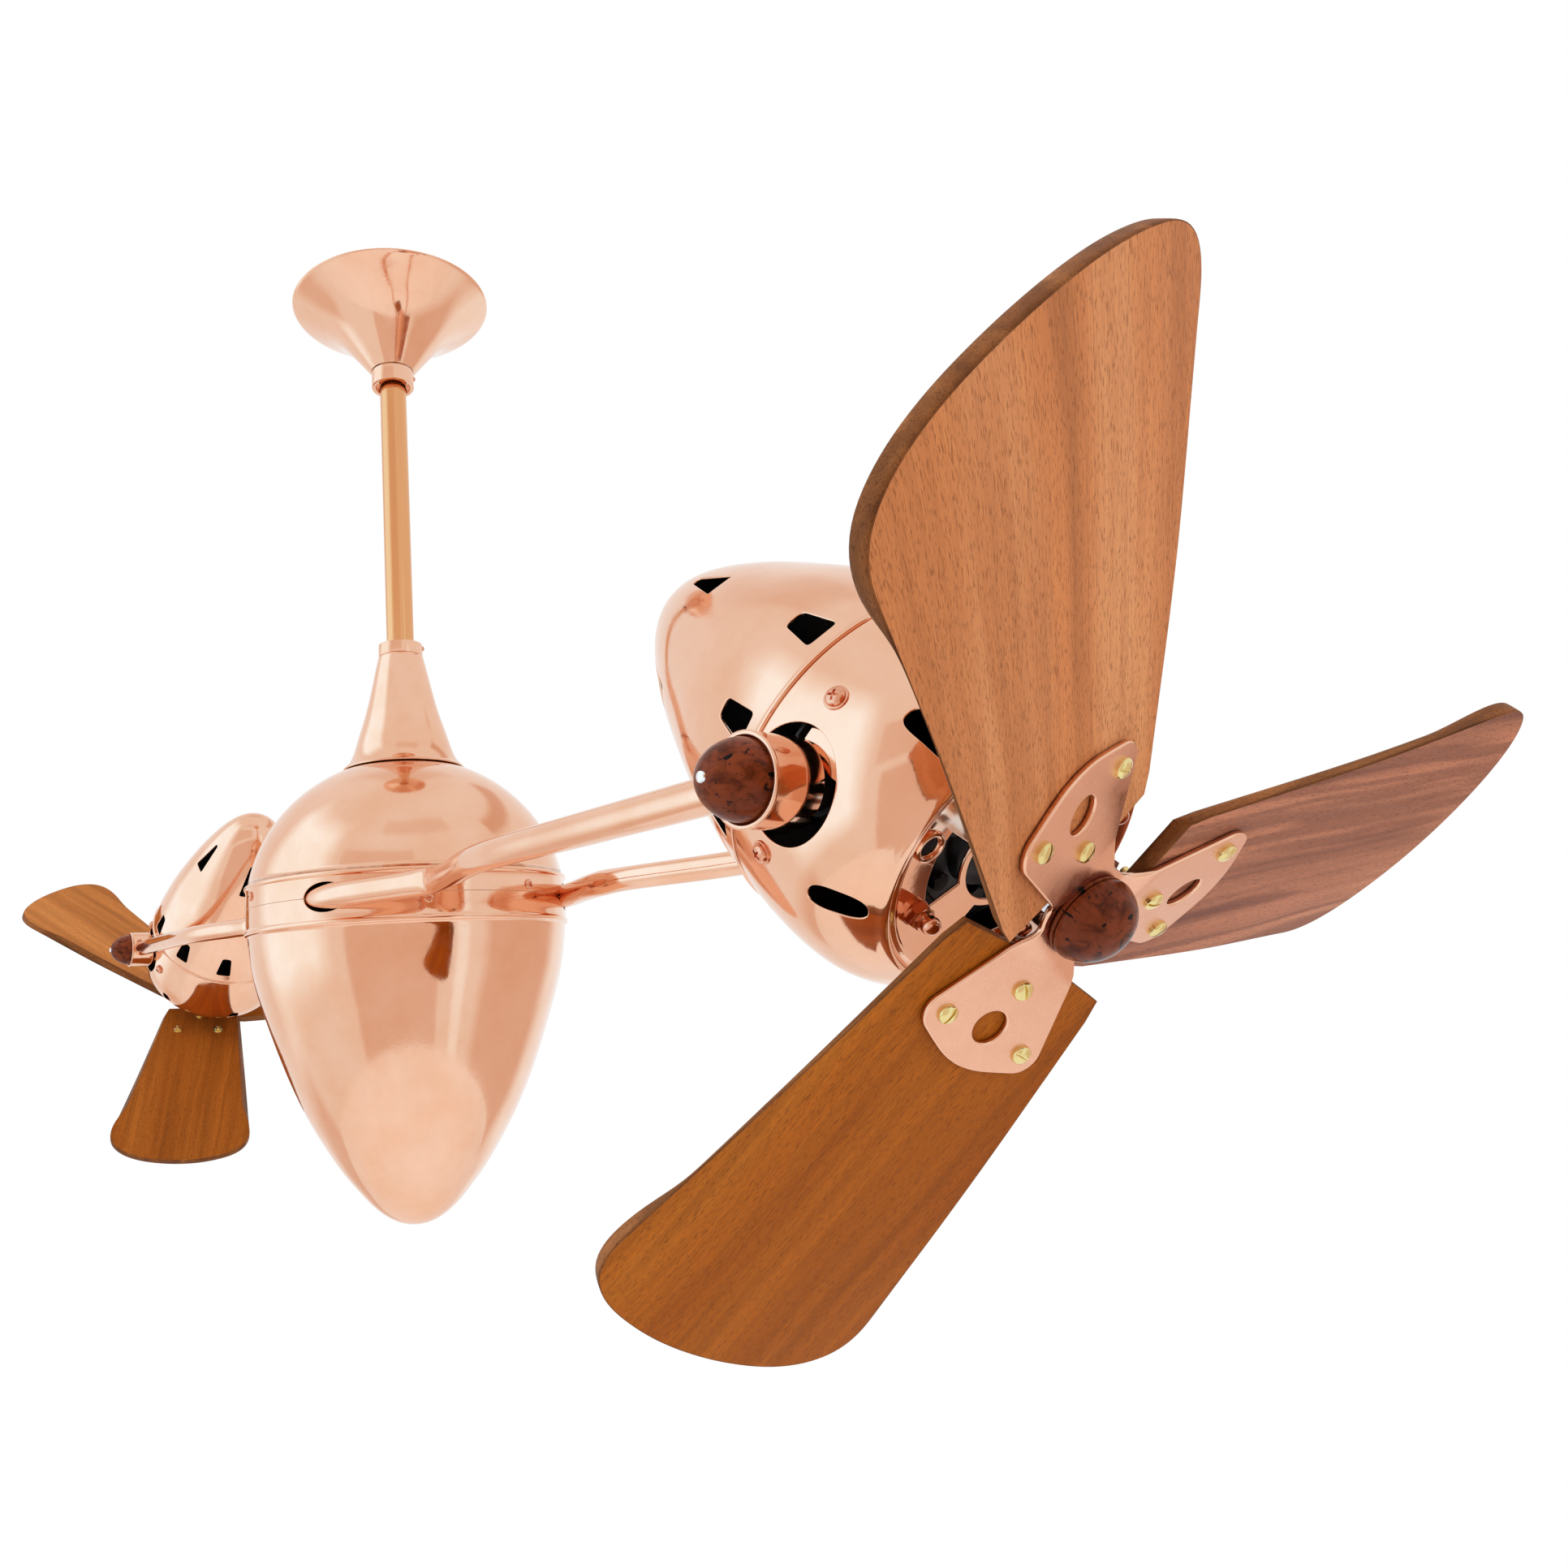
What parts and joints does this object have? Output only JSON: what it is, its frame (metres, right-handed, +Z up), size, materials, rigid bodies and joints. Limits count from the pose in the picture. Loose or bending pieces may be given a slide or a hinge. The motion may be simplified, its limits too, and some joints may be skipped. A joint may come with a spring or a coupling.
{
  "type": "rotating two-head ceiling fan",
  "caption": "Copper ceiling fan on a downrod: a turning egg-shaped pod carries tilting motor heads on arms, each with a wooden-bladed rotor.",
  "frame": {"origin": "centre of the ceiling bracket's top face, which lies against the ceiling on the downrod's axis", "axes": "+Z up through the ceiling; +X level, from the downrod's axis along the arms to the right head; +Y level, across the arms, from the front arm to the back arm"},
  "size_m": [1.3599, 0.4058, 0.7269],
  "materials": {
    "copper": "polished rose copper plate",
    "steel": "machined steel",
    "blade_wood": "satin-varnished mahogany-coloured hardwood",
    "burl_wood": "gloss-varnished dark burl",
    "black_plastic": "moulded black plastic",
    "black_paint": "black enamel on the motor"
  },
  "bodies": {
    "ceiling_set": {"ceiling_bracket": "steel", "hanger_ball": "black_plastic", "hanger_pin": "steel", "downrod": "copper", "canopy": "copper", "canopy_collar": "copper", "canopy_set_screw": "copper", "neck_collar": "copper", "neck_set_screw": "copper", "neck_bell": "copper", "spindle": "steel", "spindle_nut": "steel", "slip_ring": "black_plastic"},
    "carousel": {"pod_upper_shell": "copper", "pod_lower_shell": "copper", "arm_carrier": "steel", "upper_bearing": "steel", "lower_bearing": "steel", "brush_block": "black_plastic", "right_back_arm_tube": "copper", "right_back_knuckle_cup": "copper", "right_back_knuckle_knob": "burl_wood", "right_front_arm_tube": "copper", "right_front_knuckle_cup": "copper", "right_front_knuckle_knob": "burl_wood", "left_front_arm_tube": "copper", "left_front_knuckle_cup": "copper", "left_front_knuckle_knob": "burl_wood", "left_back_arm_tube": "copper", "left_back_knuckle_cup": "copper", "left_back_knuckle_knob": "burl_wood"},
    "right_head": {"right_rear_cap": "copper", "right_front_cap": "copper", "right_motor": "black_paint", "right_motor_cradle": "copper", "right_front_pivot_stub": "steel", "right_back_pivot_stub": "steel"},
    "right_rotor": {"right_rotor_shaft": "steel", "right_blade_spider": "copper", "right_cap_ring": "burl_wood", "right_hub_cap": "burl_wood", "right_blade_1": "blade_wood", "right_blade_2": "blade_wood", "right_blade_3": "blade_wood"},
    "left_head": {"left_rear_cap": "copper", "left_front_cap": "copper", "left_motor": "black_paint", "left_motor_cradle": "copper", "left_front_pivot_stub": "steel", "left_back_pivot_stub": "steel"},
    "left_rotor": {"left_rotor_shaft": "steel", "left_blade_spider": "copper", "left_cap_ring": "burl_wood", "left_hub_cap": "burl_wood", "left_blade_1": "blade_wood", "left_blade_2": "blade_wood", "left_blade_3": "blade_wood"}
  },
  "joints": [
    {"name": "carousel_spin", "type": "hinge", "parent": "ceiling_set", "child": "carousel", "pos_m": [0, 0, -0.5], "axis": [0, 0, 1], "continuous": true},
    {"name": "right_head_tilt", "type": "hinge", "parent": "carousel", "child": "right_head", "pos_m": [0.4907, 0, -0.5], "axis": [0, 1, 0], "range_deg": [-131.1, 48.9]},
    {"name": "left_head_tilt", "type": "hinge", "parent": "carousel", "child": "left_head", "pos_m": [-0.4907, 0, -0.5], "axis": [0, -1, 0], "range_deg": [-131.1, 48.9]},
    {"name": "right_rotor_spin", "type": "hinge", "parent": "right_head", "child": "right_rotor", "pos_m": [0.4907, 0, -0.5], "axis": [0.7536, 0, -0.6574], "continuous": true},
    {"name": "left_rotor_spin", "type": "hinge", "parent": "left_head", "child": "left_rotor", "pos_m": [-0.4907, 0, -0.5], "axis": [-0.7536, 0, -0.6574], "continuous": true}
  ]
}
